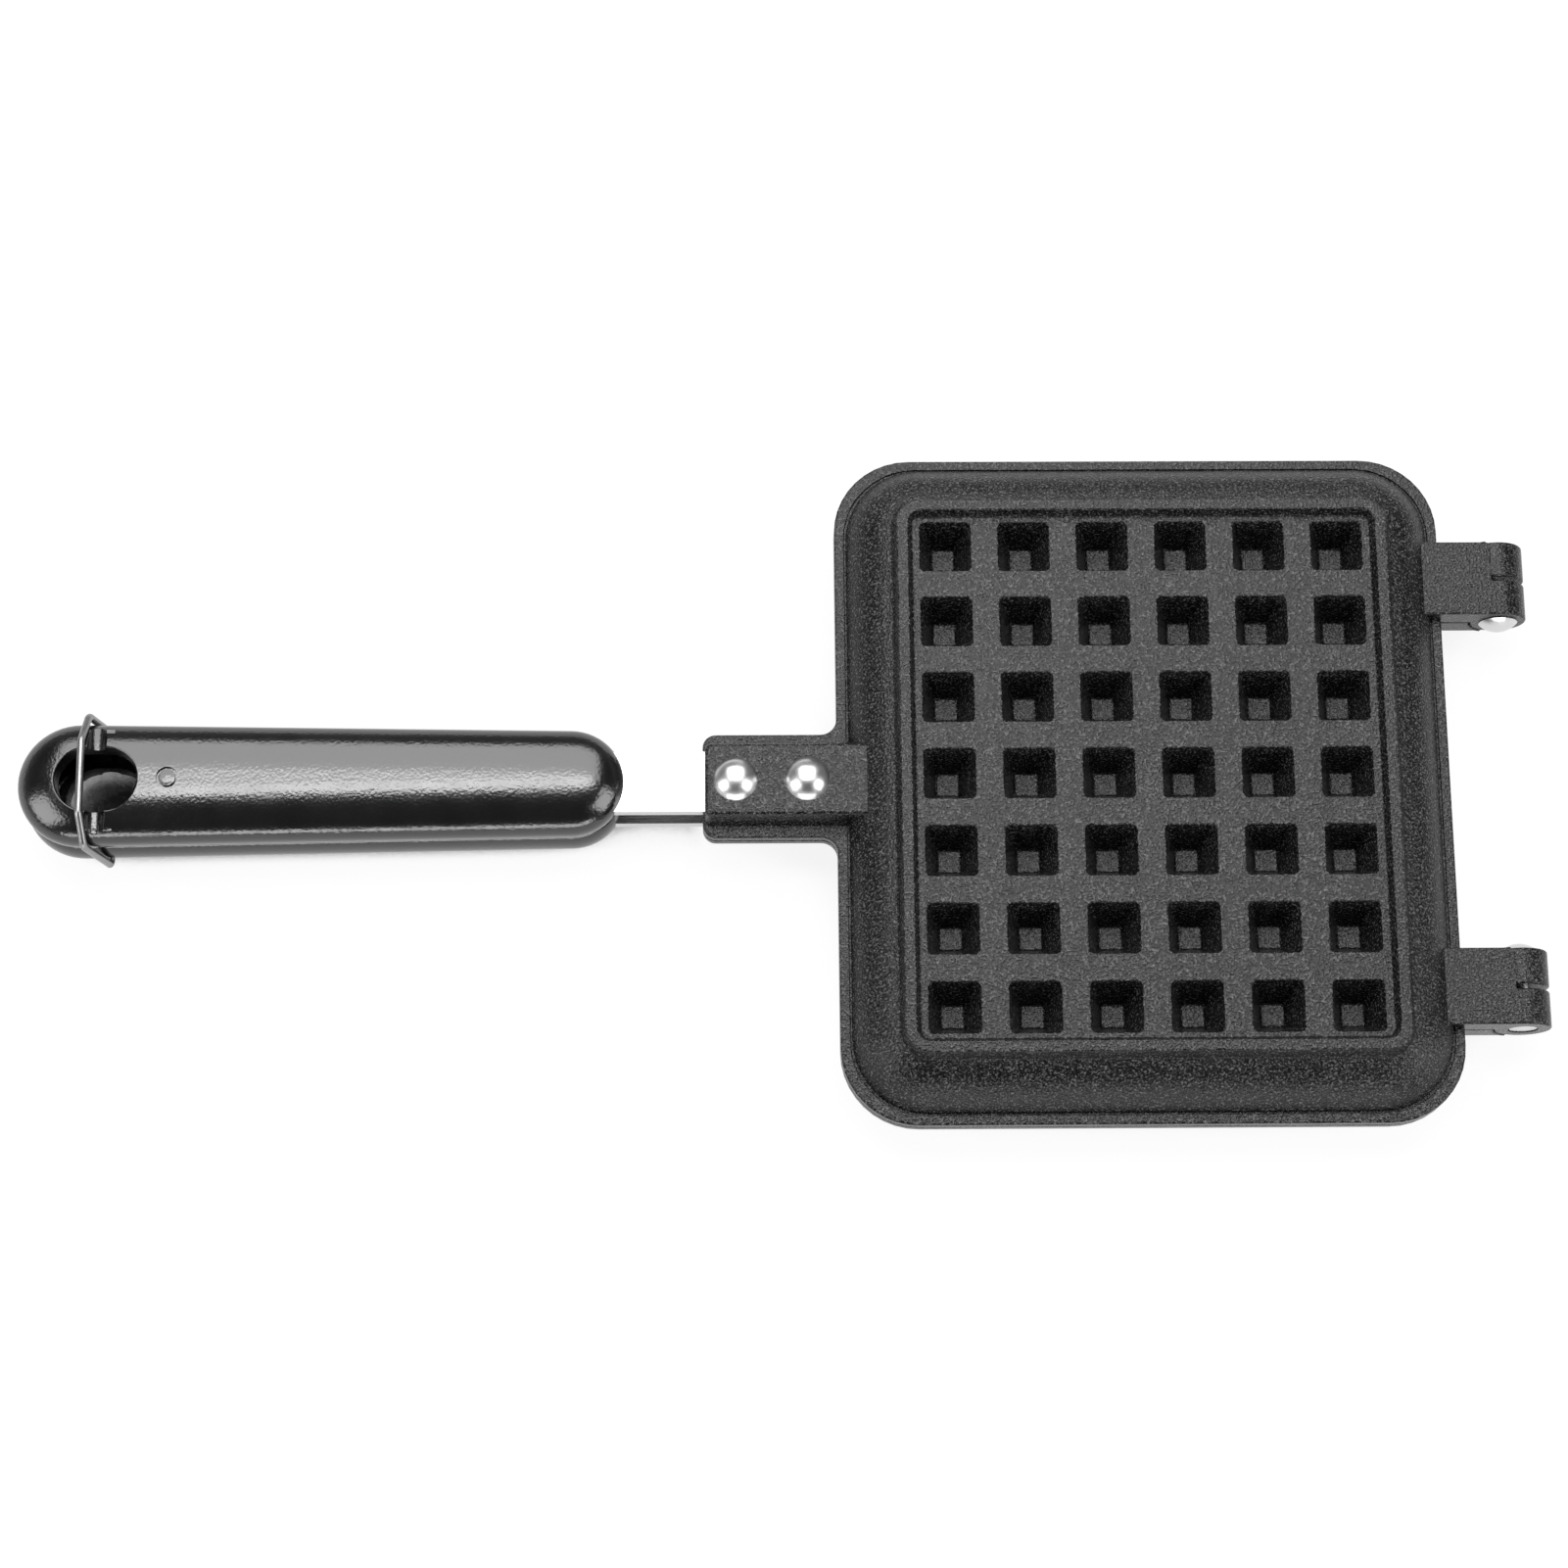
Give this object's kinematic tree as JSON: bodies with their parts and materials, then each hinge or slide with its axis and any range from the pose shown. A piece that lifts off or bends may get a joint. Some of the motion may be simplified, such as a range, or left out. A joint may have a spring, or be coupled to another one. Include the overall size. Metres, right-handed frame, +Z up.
{
  "type": "egg waffle pan",
  "caption": "Double-sided waffle pan: two hinged plates with deep square pits outside and pegs inside, each on a steel tang with a moulded handle, held shut by a wire bail.",
  "frame": {"origin": "centre of the closed pan's footprint, on the surface that its lower plate rests on", "axes": "+X from the handles to the hinge, +Y to the left when looking from the handles to the hinge, +Z up through the closed plates"},
  "size_m": [0.346, 0.1572, 0.0312],
  "materials": {
    "plate": "satin",
    "tang": "satin",
    "handle": "gloss",
    "rivet": "satin",
    "screw": "satin",
    "wire": "satin"
  },
  "bodies": {
    "base": {"lower_plate": "plate", "lower_tang": "tang", "lower_handle": "handle", "lower_rivet_front": "rivet", "lower_rivet_rear": "rivet", "lower_screw_front": "screw", "lower_screw_rear": "screw", "hinge_pin_left": "rivet", "hinge_pin_right": "rivet"},
    "lid": {"upper_plate": "plate", "upper_tang": "tang", "upper_handle": "handle", "upper_rivet_front": "rivet", "upper_rivet_rear": "rivet", "upper_screw_front": "screw", "upper_screw_rear": "screw"},
    "latch": {"latch_bail": "wire"}
  },
  "joints": [
    {"name": "lid_hinge", "type": "hinge", "parent": "base", "child": "lid", "pos_m": [0.16661, 0, 0.0156], "axis": [0, 1, 0], "range_deg": [0, 180]},
    {"name": "latch_swing", "type": "hinge", "parent": "base", "child": "latch", "pos_m": [-0.15341, 0, 0.0081], "axis": [0, -1, 0], "range_deg": [0, 95]}
  ],
  "couplings": [
    {"joint": "latch_swing", "follows": "lid_hinge", "ratio": 0.52778}
  ]
}
